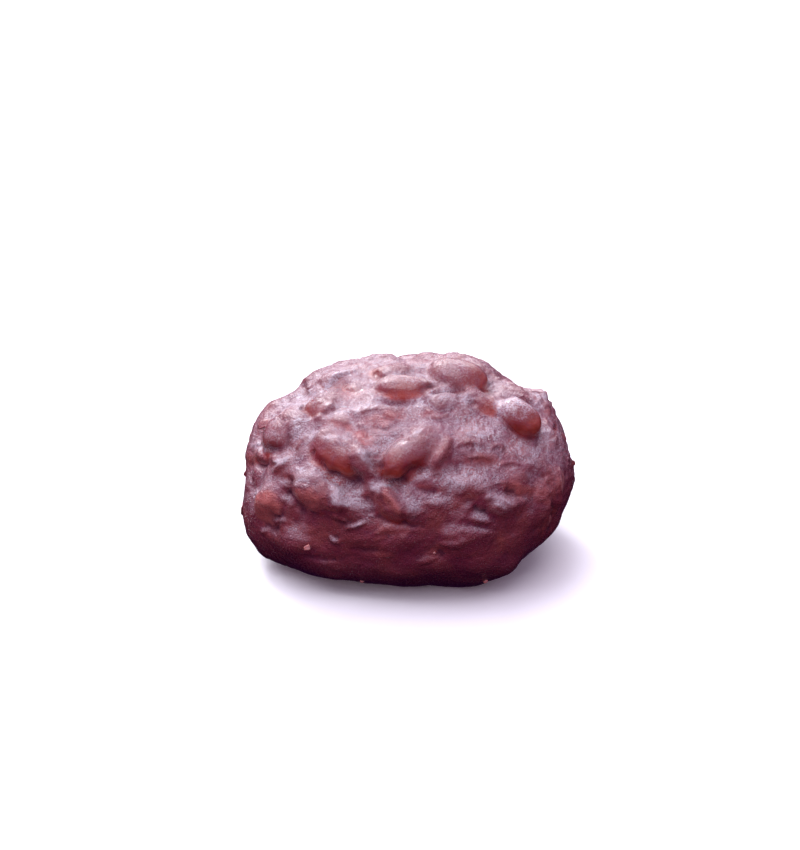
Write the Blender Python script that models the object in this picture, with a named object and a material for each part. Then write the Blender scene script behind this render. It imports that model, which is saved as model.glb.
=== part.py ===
"""A botamochi: a hand-pressed oval of sticky rice, coated all over in chunky sweet bean paste.

It is one solid. Its coat is an uneven oval. Beans that are still whole stand out of it, others lie
under the paste as softer lumps, and a flat foot shows where the coat has settled. Metres, +Z up,
the foot at z = 0, +X along the oval's length.
"""

import math
import random

import bmesh
import bpy
from mathutils import Matrix, Vector, noise

MM = 0.001

# Driving dimensions: the pressed oval, before any bean stands out of it.
OVAL_LENGTH = 60.2 * MM
OVAL_DEPTH = 47.2 * MM
CROWN_HEIGHT = 20.3 * MM  # from the oval's middle up to its crown
BELLY_DEPTH = 19.3 * MM  # from the middle down to where the underside would close
FOOT_DROP = 17.3 * MM  # from the middle down to the flat foot
PLAN_FULLNESS = 2.1  # 2 is an ellipse, and more is squarer
CROWN_FULLNESS = 2.1
BELLY_FULLNESS = 2.6

# How the hands left it: broad swellings, as azimuth, latitude, reach (degrees) and height (mm).
# Azimuth 0 faces -Y and 90 faces +X. Latitude is above or below the oval's middle.
SWELLINGS = [
    (-75, -27, 31, 3.7),
    (-88, -2, 34, 1.0),
    (-81, -17, 12, 1.1),
    (-99, 18, 12, 1.0),
    (-119, 43, 12, 1.0),
    (-125, 48, 22, 0.8),
    (-40, 40, 40, 0.5),
    (-52, -50, 18, -1.0),
    (-10, -55, 30, -0.4),
    (48, -46, 24, 0.9),
    (70, -34, 22, -1.8),
    (81, -17, 12, -1.0),
    (92, 4, 34, -0.8),
    (62, 46, 34, 0.7),
    (119, 43, 12, -1.2),
    (135, 56, 16, 1.2),
    (-175, 62, 22, -1.0),
    (150, 30, 45, 0.5),
    (-150, 10, 40, 0.5),
]
WAVINESS = 0.55 * MM
WAVES_ACROSS = 2.6  # waves of the paste over one radius

# The whole beans that stand clear of the paste at the front and on the crown:
# azimuth, latitude, turn from level (degrees), length, width, rise above the paste (mm).
CLEAR_BEANS = [
    (67, 66, -43, 12.2, 7.2, 2.3),
    (66, 35, -88, 9.8, 7.2, 2.6),
    (-74, 26, 30, 9.4, 7.2, 2.4),
    (-34, 29, -24, 10.6, 7.6, 2.6),
    (1, 36, 44, 12.4, 6.2, 2.3),
    (-8, 70, -12, 10.6, 6.6, 2.0),
    (-172, 71, 0, 9.6, 6.4, 1.4),
    (-78, 44, 43, 8.6, 6.8, 1.8),
    (-103, 22, 50, 8.2, 6.4, 1.3),
    (-68, 15, 7, 9.6, 6.6, 1.7),
    (-92, 4, 84, 10.6, 6.6, 1.0),
    (-61, -1, 60, 9.6, 6.6, 1.6),
    (-42, 12, -42, 9.6, 7.8, 2.4),
    (-106, 54, 78, 12.0, 8.2, 1.6),
    (92, 27, 75, 9.0, 7.0, 1.5),
    (39, 8, -6, 8.8, 6.2, 1.5),
]

# The beans and half-beans under the paste there, in the same columns.
COVERED_BEANS = [
    (-57, 12, 59, 9.4, 6.4, 1.6),
    (-58, 26, 50, 8.4, 4.8, 1.1),
    (-30, 7, -15, 6.6, 4.4, 1.0),
    (-6, 12, -45, 9.6, 4.6, 1.4),
    (37, 61, -15, 8.2, 6.4, 1.3),
    (61, 49, -64, 8.0, 5.6, 1.3),
    (16, 36, 41, 10.0, 4.2, 1.3),
    (14, 55, -10, 10.2, 4.4, 1.1),
    (-48, 56, 53, 8.2, 6.0, 1.2),
    (-60, 39, 46, 8.4, 4.8, 0.9),
    (20, 22, -3, 8.6, 5.2, 1.1),
    (30, 16, 12, 7.8, 4.8, 1.2),
    (63, 8, 72, 11.0, 6.2, 1.6),
    (88, -2, 80, 9.4, 6.2, 1.0),
    (50, -2, -10, 9.0, 5.6, 1.1),
    (22, -9, 10, 11.0, 6.4, 1.3),
    (42, -26, -8, 8.6, 6.6, 1.2),
    (68, -16, 46, 8.0, 6.0, 0.7),
    (-56, -14, 29, 10.4, 6.2, 1.3),
    (-29, -5, 6, 8.6, 5.6, 1.1),
    (-7, -5, 14, 8.6, 6.0, 1.0),
    (-45, -26, -8, 9.4, 6.6, 1.0),
    (-11, -27, 2, 9.6, 6.6, 1.0),
    (54, 23, -15, 8.6, 5.4, 1.0),
    (33, 33, -4, 8.2, 4.6, 0.9),
    (7, 12, -16, 7.6, 4.6, 0.9),
]

# The beans elsewhere follow one rule: even steps round a spiral, unevenly turned and sunk.
SPIRAL_BEANS = 92
SPIRAL_LOWEST = -42  # degrees, under which the foot takes over
BEAN_LENGTHS = (8.4, 11.4)  # mm
BEAN_WIDTHS = (6.0, 7.4)  # mm
BEAN_RISES = (0.4, 1.9)  # mm
RISE_THAT_CLEARS = 1.3  # mm, over which a bean's skin shows
FREE_OF_OTHERS = 12.5  # degrees between a spiral bean and one laid by hand
SEED = 11

BEAN_THICKNESS = 0.88  # of its width
BEAN_LEVELS = 3

OVAL_LEVELS = 6
GRAIN = 0.6 * MM  # the finest form that the shape keeps
COVERED_SOFTENING = 9  # rounds of smoothing once the covered beans are in
CLEAR_SOFTENING = 5
MOST_FACES = 9300


def direction(azimuth, latitude):
    """The unit vector that points that way out of the oval's middle."""
    a = math.radians(azimuth)
    b = math.radians(latitude)
    return Vector((math.sin(a) * math.cos(b), -math.cos(a) * math.cos(b), math.sin(b)))


def oval_radius(way):
    """How far the plain pressed oval reaches that way from its middle."""
    half_height, fullness = BELLY_DEPTH, BELLY_FULLNESS
    if way.z > 0:
        half_height, fullness = CROWN_HEIGHT, CROWN_FULLNESS
    along = abs(way.x / (OVAL_LENGTH / 2)) ** PLAN_FULLNESS
    across = abs(way.y / (OVAL_DEPTH / 2)) ** PLAN_FULLNESS
    upright = abs(way.z / half_height) ** fullness
    return ((along + across) ** (fullness / PLAN_FULLNESS) + upright) ** (-1 / fullness)


def pressed_radius(way):
    """The oval with the swellings and waves that hands leave."""
    radius = oval_radius(way)
    for azimuth, latitude, reach, height in SWELLINGS:
        apart = math.degrees(way.angle(direction(azimuth, latitude)))
        radius += height * MM * math.exp(-((apart / reach) ** 2))
    return radius + WAVINESS * noise.noise(way * WAVES_ACROSS)


def spiral_beans():
    """Rows like CLEAR_BEANS for the sides that none was laid on by hand."""
    chance = random.Random(SEED)
    golden = 180 * (3 - math.sqrt(5))
    lowest = math.sin(math.radians(SPIRAL_LOWEST))
    laid = [direction(row[0], row[1]) for row in CLEAR_BEANS + COVERED_BEANS]
    rows = []
    for i in range(SPIRAL_BEANS):
        latitude = math.degrees(math.asin(1 - (1 - lowest) * (i + 0.5) / SPIRAL_BEANS))
        azimuth = (i * golden + chance.uniform(-5, 5)) % 360
        turn = chance.uniform(0, 180)
        length = chance.uniform(*BEAN_LENGTHS)
        width = chance.uniform(*BEAN_WIDTHS)
        rise = chance.uniform(*BEAN_RISES)
        way = direction(azimuth, latitude)
        if min(math.degrees(way.angle(other)) for other in laid) > FREE_OF_OTHERS:
            rows.append((azimuth, latitude, turn, length, width, rise))
    return rows


def bean_place(azimuth, latitude, turn, length, width, rise):
    """The bean's place as a matrix that carries a unit ball onto it, measured from the oval's middle."""
    way = direction(azimuth, latitude)
    steepness = (way.x / OVAL_LENGTH**2, way.y / OVAL_DEPTH**2, way.z / (2 * CROWN_HEIGHT) ** 2)
    out = Vector(steepness).normalized()
    level = Vector((0, 0, 1)).cross(out).normalized()
    along = Matrix.Rotation(math.radians(turn), 3, out) @ level
    across = out.cross(along)
    thickness = BEAN_THICKNESS * width
    middle = way * pressed_radius(way) - out * (thickness / 2 - rise) * MM
    halves = (along * length / 2 * MM, across * width / 2 * MM, out * thickness / 2 * MM)
    return Matrix.Translation(middle) @ Matrix(halves).transposed().to_4x4()


def pressed_oval():
    """The coated oval before its beans, as an object round the origin."""
    shape = bmesh.new()
    bmesh.ops.create_icosphere(shape, subdivisions=OVAL_LEVELS, radius=1)
    for vertex in shape.verts:
        way = vertex.co.normalized()
        vertex.co = way * pressed_radius(way)
    mesh = bpy.data.meshes.new("botamochi")
    shape.to_mesh(mesh)
    shape.free()
    body = bpy.data.objects.new("botamochi", mesh)
    bpy.context.scene.collection.objects.link(body)
    bpy.context.view_layer.objects.active = body
    body.select_set(True)
    return body


def press_in(body, rows, softening):
    """Sets a bean into the coat for each row, closes the paste round it and softens the whole."""
    shape = bmesh.new()
    shape.from_mesh(body.data)
    for row in rows:
        bmesh.ops.create_icosphere(shape, subdivisions=BEAN_LEVELS, radius=1, matrix=bean_place(*row))
    shape.to_mesh(body.data)
    shape.free()

    closed = body.modifiers.new("closed", "REMESH")
    closed.mode = "VOXEL"
    closed.voxel_size = GRAIN
    bpy.ops.object.modifier_apply(modifier=closed.name)
    soft = body.modifiers.new("soft", "SMOOTH")
    soft.factor = 0.5
    soft.iterations = softening
    bpy.ops.object.modifier_apply(modifier=soft.name)


def thin_out(body):
    """Drops the faces that a nearly flat stretch doesn't need."""
    triangles = sum(len(face.vertices) - 2 for face in body.data.polygons)
    fewer = body.modifiers.new("fewer_faces", "DECIMATE")
    fewer.ratio = MOST_FACES / triangles
    bpy.ops.object.modifier_apply(modifier=fewer.name)


def cut_foot(mesh):
    """Cuts the underside off level and closes it with one flat face."""
    shape = bmesh.new()
    shape.from_mesh(mesh)
    everything = shape.verts[:] + shape.edges[:] + shape.faces[:]
    low, down = (0, 0, -FOOT_DROP), (0, 0, -1)
    cut = bmesh.ops.bisect_plane(shape, geom=everything, plane_co=low, plane_no=down, clear_outer=True)
    rim = [part for part in cut["geom_cut"] if isinstance(part, bmesh.types.BMEdge)]
    bmesh.ops.edgeloop_fill(shape, edges=rim)
    bmesh.ops.recalc_face_normals(shape, faces=shape.faces[:])
    shape.to_mesh(mesh)
    shape.free()


def centre(mesh):
    """Moves the mesh so that its box stands on the origin."""
    low = [min(vertex.co[axis] for vertex in mesh.vertices) for axis in range(3)]
    high = [max(vertex.co[axis] for vertex in mesh.vertices) for axis in range(3)]
    mesh.transform(Matrix.Translation((-(low[0] + high[0]) / 2, -(low[1] + high[1]) / 2, -low[2])))


def bean_paste():
    """Sweet bean paste: dark red-brown and moist."""
    paste = bpy.data.materials.new("bean_paste")
    paste.use_nodes = True
    shader = paste.node_tree.nodes["Principled BSDF"]
    shader.inputs["Base Color"].default_value = (0.16, 0.042, 0.045, 1)
    shader.inputs["Roughness"].default_value = 0.42
    shader.inputs["Metallic"].default_value = 0
    return paste


for thing in list(bpy.data.objects):
    bpy.data.objects.remove(thing)

botamochi = pressed_oval()
spiral = spiral_beans()
press_in(botamochi, COVERED_BEANS + [row for row in spiral if row[5] < RISE_THAT_CLEARS], COVERED_SOFTENING)
press_in(botamochi, CLEAR_BEANS + [row for row in spiral if row[5] >= RISE_THAT_CLEARS], CLEAR_SOFTENING)
thin_out(botamochi)
cut_foot(botamochi.data)
centre(botamochi.data)
botamochi.data.materials.append(bean_paste())
botamochi.data.shade_smooth()
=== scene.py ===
import math
import random

import bpy
import numpy as np
from mathutils import Matrix, Vector, noise
from mathutils.bvhtree import BVHTree
from mathutils.kdtree import KDTree


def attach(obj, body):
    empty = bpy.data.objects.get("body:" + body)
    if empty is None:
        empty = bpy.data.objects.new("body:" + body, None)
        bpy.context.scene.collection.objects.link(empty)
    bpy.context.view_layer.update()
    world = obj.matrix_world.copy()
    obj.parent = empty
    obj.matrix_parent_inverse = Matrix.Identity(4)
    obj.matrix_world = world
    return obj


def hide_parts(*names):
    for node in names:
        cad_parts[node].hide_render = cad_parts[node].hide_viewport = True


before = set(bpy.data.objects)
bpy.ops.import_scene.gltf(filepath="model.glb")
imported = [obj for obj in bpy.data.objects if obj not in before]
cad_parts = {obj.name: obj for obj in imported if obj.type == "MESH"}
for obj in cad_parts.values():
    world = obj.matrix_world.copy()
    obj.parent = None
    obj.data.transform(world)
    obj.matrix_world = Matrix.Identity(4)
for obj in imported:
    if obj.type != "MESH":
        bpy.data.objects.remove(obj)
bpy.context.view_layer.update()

# ---------------------------------------------------------------------------
# The pressed paste. Azuki beans are boiled soft with sugar and only half mashed, and the hands
# press that paste round a ball of rice, so the coat is one body with soft lumps.
# ---------------------------------------------------------------------------
MM = 0.001
MIDDLE = Vector((0, 0, 17.3 * MM))  # of the oval; azimuth 0 faces -Y and 90 faces +X from here
SOFT_GRID = 0.45 * MM  # between the first, soft skin's points


def pick_only(piece):
    """Selects this piece alone, as the one to work on."""
    bpy.ops.object.select_all(action="DESELECT")
    piece.select_set(True)
    bpy.context.view_layer.objects.active = piece


def work(piece, tool, **settings):
    """Puts one modifier on the piece and applies it."""
    pick_only(piece)
    modifier = piece.modifiers.new(tool.lower(), tool)
    for name, value in settings.items():
        setattr(modifier, name, value)
    bpy.ops.object.modifier_apply(modifier=modifier.name)


def rows_of(items, name, width, kind=float):
    flat = np.empty(len(items) * width, kind)
    items.foreach_get(name, flat)
    return flat.reshape(-1, width)


def points_of(piece):
    return rows_of(piece.data.vertices, "co", 3)


def put_points(piece, points):
    piece.data.vertices.foreach_set("co", points.reshape(-1))
    piece.data.update()


def direction(azimuth, latitude):
    """The unit vector that points that way out of the middle."""
    a = math.radians(azimuth)
    b = math.radians(latitude)
    return Vector((math.sin(a) * math.cos(b), -math.cos(a) * math.cos(b), math.sin(b)))


def skin_of(piece):
    """The piece's surface as it is now, for lines to be cast at."""
    return BVHTree.FromObject(piece, bpy.context.evaluated_depsgraph_get())


def met(skin, way):
    """Where a line from that way meets the skin on its way to the middle, and the normal there."""
    point, normal, _, _ = skin.ray_cast(MIDDLE + way, -way)
    return point, normal


def nearness(points, centre, wide):
    """1 at the centre, and falling off smoothly over that many mm."""
    apart = np.linalg.norm(points - np.array(centre), axis=1)
    return np.exp(-((apart / (wide * MM)) ** 2))


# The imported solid's flat facets are melted into one soft skin.
coat = bpy.data.objects.new("paste_coat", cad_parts["botamochi"].data.copy())
bpy.context.scene.collection.objects.link(coat)
coat.data.materials.clear()
pick_only(coat)
bpy.ops.object.mode_set(mode="EDIT")
bpy.ops.mesh.select_all(action="SELECT")
bpy.ops.mesh.remove_doubles(threshold=0.01 * MM)
bpy.ops.object.mode_set(mode="OBJECT")
work(coat, "REMESH", mode="VOXEL", voxel_size=SOFT_GRID)
work(coat, "SMOOTH", factor=0.5, iterations=16)

# The hands left it a little out of round: azimuth, latitude, how wide and how far out in mm.
PUSHES = [
    (91, 4, 6, -0.7),
    (98, 19, 6, -0.7),
    (112, 30, 8, -0.8),
    (108, 38, 3, -0.6),
    (62, 58, 3, -0.5),
    (133, 49, 5, 1.1),
    (168, 50, 8, -0.9),
    (-158, 54, 5, 1.0),
    (-135, 48, 4, -0.9),
    (-115, 38, 4, 0.6),
    (-106, 27, 3, -0.8),
    (-108, 40, 3, 0.5),
    (-109, 64, 3, -0.5),
    (-101, 18, 5, 1.2),
    (-96, 4, 7, 0.9),
    (-93, -11, 3.4, -1.5),
    (-80, -16, 4, 0.5),
    (-50, -37, 5, -0.4),
    (-28, -39, 7, 0.5),
    (43, -31, 6, 1.3),
]
place = points_of(coat)
ways = place - np.array(MIDDLE)
ways /= np.linalg.norm(ways, axis=1)[:, None]
first_skin = skin_of(coat)
push = np.zeros(len(place))
for azimuth, latitude, wide, far in PUSHES:
    centre = met(first_skin, direction(azimuth, latitude))[0]
    push += far * MM * nearness(place, centre, wide)
put_points(coat, place + ways * push[:, None])

# ---------------------------------------------------------------------------
# The whole beans. A cooked azuki bean is a blunt little barrel, a bit bent, in a thin glossy skin.
# The hands pressed them into the paste, which closes round them and runs up onto their upper sides.
# ---------------------------------------------------------------------------
# Those in plain sight: azimuth, latitude and turn from level in degrees, length, width and stand above
# the soft coat in mm, how much of it the paste has run over (from 0 to 1), then its redness, which also
# sets how much painted glow its lower side gets.
BEANS = [
    (83, 65, -92, 11.6, 9.0, 2.30, 0.00, 0.50),
    (66, 36, -80, 9.4, 6.8, 1.10, 0.10, 0.90),
    (-76, 25, 37, 10.4, 9.8, 1.00, 0.25, 0.05),
    (-39, 30, -29, 12.0, 9.4, 1.15, 0.30, 0.95),
    (2, 36, 40, 13.6, 7.4, 0.70, 0.28, 0.50),
    (-7, 74, -3, 11.4, 6.8, 1.00, 0.25, 0.55),
    (-90, 82, 95, 8.6, 6.2, 0.40, 0.50, 0.30),
    (-101, 53, 122, 13.0, 7.2, 0.80, 1.00, 0.10),
    (-71, 45, 61, 8.0, 6.6, 0.40, 0.40, 0.30),
    (-71, 61, 41, 5.2, 4.2, 0.60, 0.30, 0.70),
    (-77, 14, 17, 9.4, 6.4, 0.45, 0.85, 0.20),
    (-92, 4, 84, 10.6, 6.6, -0.50, 0.75, 0.60),
    (-63, 10, 61, 9.7, 6.2, 0.80, 1.00, 0.40),
    (-62, -3, 52, 9.4, 6.8, 0.70, 1.00, 0.80),
    (-42, 13, -45, 9.8, 8.6, 1.00, 1.00, 0.45),
    (36, 61, -15, 8.4, 7.4, 0.60, 1.00, 0.30),
    (60, 50, -72, 10.0, 4.8, 0.90, 0.40, 0.80),
    (86, 27, 41, 9.0, 6.6, 0.60, 0.80, 0.40),
    (18, 34, 53, 9.0, 5.0, 0.20, 1.00, 0.50),
    (-7, 12, -44, 9.2, 5.4, 0.80, 0.80, 0.15),
    (26, -5, 5, 11.8, 7.2, 0.45, 1.00, 0.40),
    (36, -22, -14, 11.3, 6.6, 0.40, 1.00, 0.30),
    (59, 4, 70, 10.6, 6.2, 0.55, 1.00, 0.45),
    (51, 18, 36, 8.6, 5.8, 0.45, 1.00, 0.50),
    (-10, -8, 10, 10.0, 6.4, 0.35, 1.00, 0.30),
    (-45, -24, 8, 10.4, 6.6, 0.30, 1.00, 0.30),
]
BEAN_THICKNESS = 0.88  # of its width
BLUNT_ENDS = 2.5  # 2 is an ellipse, and more is squarer
ROUND_GIRTH = 2.3
BEND = 0.10
OVAL = (60.2, 47.2, 40.6)  # mm: the coat's length and depth, and twice its crown's height
FINE_GRID = 0.366 * MM  # between the finished coat's points, which keeps it under 200,000 triangles

# Behind, they follow one rule: even steps round a spiral, unevenly turned and sunk.
SPIRAL_BEANS = 92
SPIRAL_LOWEST = -42  # degrees
GOLDEN_TURN = 180 * (3 - math.sqrt(5))  # degrees from one step to the next
BEAN_LENGTHS = (8.4, 11.4)  # mm
BEAN_WIDTHS = (6.0, 7.4)  # mm
BEAN_RISES = (0.4, 1.9)  # mm
RISE_THAT_SHOWS = 1.3  # mm, over which a bean's skin shows
BEHIND = 0.25  # how far toward the back a bean must face for that
LEFT_END = -0.93  # the left end has none but those above
FREE_OF_OTHERS = 13  # degrees

UP = Vector((0, 0, 1))
soft_skin = skin_of(coat)


def on_coat(azimuth, latitude):
    """The soft coat's point that way from the middle, and its outward normal."""
    return met(soft_skin, direction(azimuth, latitude))


def axes_at(azimuth, latitude, turn):
    """The coat's point that way, and the oval's three directions there, turned from level."""
    way = direction(azimuth, latitude)
    out = Vector([part / size**2 for part, size in zip(way, OVAL)]).normalized()
    along = Matrix.Rotation(math.radians(turn), 3, out) @ UP.cross(out).normalized()
    return on_coat(azimuth, latitude)[0], along, out.cross(along), out


def bean_place(azimuth, latitude, turn, length, width, stand):
    """The matrix that carries a bean of unit half-sizes to its place in the coat."""
    point, along, across, out = axes_at(azimuth, latitude, turn)
    thickness = BEAN_THICKNESS * width
    middle = point - out * (thickness / 2 - stand) * MM
    halves = (along * length / 2 * MM, across * width / 2 * MM, out * thickness / 2 * MM)
    return Matrix.Translation(middle) @ Matrix(halves).transposed().to_4x4()


def step_down(step, count, lowest):
    """The latitude of one of a count of steps that cover even areas, from the crown to the lowest."""
    height = 1 - (1 - math.sin(math.radians(lowest))) * step / count
    return math.degrees(math.asin(max(min(height, 1), -1)))


chance = random.Random(11)
laid = [direction(row[0], row[1]) for row in BEANS]
for i in range(SPIRAL_BEANS):
    latitude = step_down(i + 0.5, SPIRAL_BEANS, SPIRAL_LOWEST)
    azimuth = (i * GOLDEN_TURN + chance.uniform(-5, 5)) % 360
    turn = chance.uniform(0, 180)
    length = chance.uniform(*BEAN_LENGTHS)
    width = chance.uniform(*BEAN_WIDTHS)
    rise = chance.uniform(*BEAN_RISES)
    way = direction(azimuth, latitude)
    if way.x > LEFT_END and min(math.degrees(way.angle(other)) for other in laid) > FREE_OF_OTHERS:
        shows = rise > RISE_THAT_SHOWS and way.y > BEHIND
        run_over = 2.0 - rise if shows else 1
        stand = 0.1 + 0.25 * rise if shows else -0.1
        redness_and_glow = (0.37 * i) % 0.6 + 0.1
        BEANS.append((azimuth, latitude, turn, length, width, stand, run_over, redness_and_glow))
bean_places = [bean_place(*row[:6]) for row in BEANS]


def bent(along):
    """How far aside a bean's own middle line runs, in half-widths."""
    return BEND * (along**2 - 0.4)


def in_bean(points, matrix):
    """Each point in the bean's own axes, and how far out of its middle it is: 1 on its skin."""
    inverse = np.array(matrix.inverted())
    own = points @ inverse[:3, :3].T + inverse[:3, 3]
    ring = np.hypot(own[:, 1] - bent(own[:, 0]), own[:, 2])
    reach = np.abs(own[:, 0]) ** BLUNT_ENDS + ring**ROUND_GIRTH
    return own, reach ** (2 / (BLUNT_ENDS + ROUND_GIRTH))


def height_on_bean(own, matrix):
    """How high up the bean's slope each point is: -1 at its lower side, 1 at its upper side."""
    uphill = np.array(matrix.to_3x3().transposed())[:2, 2]
    return (own[:, :2] @ uphill) / np.linalg.norm(uphill)


def normals_of(piece):
    return rows_of(piece.data.vertex_normals, "vector", 3)


def lumps(points, size, seed):
    """A smooth random value from about -1 to 1 for each point, which changes over about that size."""
    shifted = points / size + np.array((seed * 7.31, seed * 3.17, seed * 5.71))
    return np.array([noise.noise(point) for point in shifted.tolist()])


def eased(values, low, high):
    """0 below low, 1 above high, and a smooth step between them."""
    t = np.clip((values - low) / (high - low), 0, 1)
    return t * t * (3 - 2 * t)


# Between the beans the paste lies lower, and most along a bean's lower side.
work(coat, "SMOOTH", factor=0.5, iterations=40)
place = points_of(coat)
outward = normals_of(coat)
soft = 0.45 * lumps(place, 6.0 * MM, 2) + 0.15 * lumps(place, 3.2 * MM, 12)
place += outward * (soft * MM)[:, None]
dip = np.zeros(len(place))
for row, matrix in zip(BEANS, bean_places):
    stand, run_over = row[5:7]
    own, reach = in_bean(place, matrix)
    lowness = np.clip(0.5 - 0.5 * height_on_bean(own, matrix), 0, 1)
    trench = eased(-reach, -1.55, -1.1) * eased(own[:, 2], -0.6, 0.2) * lowness
    dip = np.maximum(dip, trench * 1.1 * stand * (1 - run_over))
place -= outward * (dip * MM)[:, None]
put_points(coat, place)

# One bean is shaped out of a ball, then copied into each place with lumps of its own.
on_its_side = (0, math.radians(90), 0)
bpy.ops.mesh.primitive_uv_sphere_add(segments=28, ring_count=20, radius=1, rotation=on_its_side)
first_bean = bpy.context.object
bpy.ops.object.transform_apply(location=False, rotation=True, scale=True)
shape = points_of(first_bean)
ends = np.sign(shape[:, 0]) * np.abs(shape[:, 0]) ** 0.86
girth = (1 - np.abs(ends) ** BLUNT_ENDS) ** (1 / ROUND_GIRTH)
ring = np.maximum(np.hypot(shape[:, 1], shape[:, 2]), 1e-6)
shape = np.stack([ends, shape[:, 1] / ring * girth, shape[:, 2] / ring * girth], axis=1)
shape[:, 1] += bent(shape[:, 0])
put_points(first_bean, shape)


def copy_of(piece):
    """A copy of the piece, with a mesh of its own."""
    copied = piece.copy()
    copied.data = piece.data.copy()
    bpy.context.scene.collection.objects.link(copied)
    return copied


def join_up(pieces):
    """Joins the pieces into the first of them."""
    pick_only(pieces[0])
    for piece in pieces[1:]:
        piece.select_set(True)
    bpy.ops.object.join()
    return pieces[0]


beans = []
for row, matrix in zip(BEANS, bean_places):
    bean = copy_of(first_bean)
    put_points(bean, shape * (1 + 0.035 * lumps(shape, 0.9, row[0]))[:, None])
    bean.data.transform(matrix)
    beans.append(bean)
bpy.data.objects.remove(first_bean)
join_up([coat, *beans])
work(coat, "REMESH", mode="VOXEL", voxel_size=FINE_GRID)


def blurred(values, pairs, rounds, share=0.5):
    """Each value drawn toward the mean of its neighbours by its share, over and over."""
    count = np.maximum(np.bincount(pairs.reshape(-1), minlength=len(values)), 1)
    for _ in range(rounds):
        total = np.bincount(pairs[:, 0], values[pairs[:, 1]], len(values))
        total += np.bincount(pairs[:, 1], values[pairs[:, 0]], len(values))
        values = values + share * (total / count - values)
    return values


def evened(points, pairs, rounds, share=0.5):
    """The points, drawn toward their neighbours in the same way."""
    return np.stack([blurred(column, pairs, rounds, share) for column in points.T], axis=1)


# Where each bean's bare skin is, and where the paste has run up onto it in an uneven film.
pairs = rows_of(coat.data.edges, "vertices", 2, int)
place = evened(points_of(coat), pairs, 3)
bare = np.zeros(len(place))
redness_and_glow = np.zeros(len(place))
uphill_side = np.zeros(len(place))
bean_at = np.zeros((len(place), 3))
for number, (row, matrix) in enumerate(zip(BEANS, bean_places)):
    run_over, own_redness_and_glow = row[6:]
    own, reach = in_bean(place, matrix)
    height_on = height_on_bean(own, matrix)
    close = np.where(reach < 1.3)[0]
    ragged = 0.50 * lumps(place[close], 2.6 * MM, number)
    ragged += 0.25 * lumps(place[close], 0.9 * MM, number)
    shows = eased(-reach[close], -1.14, -1.03)
    line = 1.2 - 2.4 * run_over
    free = 1 - eased(height_on[close] + ragged, line - 0.2, line + 0.15)
    wins = shows * free > bare[close]
    chosen = close[wins]
    bare[chosen] = (shows * free)[wins]
    # Painted glow: the skin turns redder toward the bean's lower side, where light from above and behind
    # shines through it.
    redness_and_glow[chosen] = np.clip(own_redness_and_glow - 0.3 - 1.5 * height_on[chosen], 0, 1.6)
    bean_at[chosen] = own[chosen] + number * 3.7
    covered = eased(-reach[close], -1.3, -1.02) * (1 - 0.7 * shows * free)
    uphill_side[close] = np.maximum(uphill_side[close], covered)
film = blurred(uphill_side, pairs, 4)
bare = blurred(bare, pairs, 4)
place = evened(place, pairs, 20, 0.5 * film)
put_points(coat, place)

# ---------------------------------------------------------------------------
# The paste's own surface: scraps of mashed bean that lie over each other like shingles, with folds
# and creases where the fingers smeared it, with painted sheen on top and painted shade low down.
# ---------------------------------------------------------------------------
SCATTER = 1.2  # steps, by which each place is moved at most from its even spacing


def spiral(count, lowest, chance):
    """Evenly spread azimuths and latitudes, down to the lowest latitude."""
    for i in range(count):
        latitude = step_down(i + 0.5 + chance.uniform(-SCATTER, SCATTER), count, lowest)
        azimuth = (i * GOLDEN_TURN + 3 * chance.uniform(-SCATTER, SCATTER)) % 360
        yield azimuth, latitude


def smear(point, out, spread):
    """The way of the smear there: up to the right, level low down, and down at the right end.

    Turns are in degrees from level, and the spread is how far it strays from place to place.
    """
    side = (point - MIDDLE).normalized()
    low = min(max(-side.z * 2.5, 0), 1)
    turn = (36 + 26 * side.x) * (1 - low) + 8 * low
    right = min(max(side.x * 3 - 1, 0), 1) * min(max(2 - side.z * 5, 0), 1)
    turn = turn * (1 - right) - 40 * right
    turn += spread * noise.noise(point / (11 * MM) + Vector((4, 1, 7)))
    level = UP.cross(out).normalized()
    return level * math.cos(math.radians(turn)) + out.cross(level) * math.sin(math.radians(turn))


def tree_of(points):
    """The points, sorted so that those near a place are soon found."""
    tree = KDTree(len(points))
    for i, point in enumerate(points):
        tree.insert(point, i)
    tree.balance()
    return tree


outward = normals_of(coat)
near = tree_of(place)


def points_near(point, radius):
    """The numbers of the coat's points no farther than that from there, the nearest first."""
    return np.array([item[1] for item in near.find_range(point, radius)], int)


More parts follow.
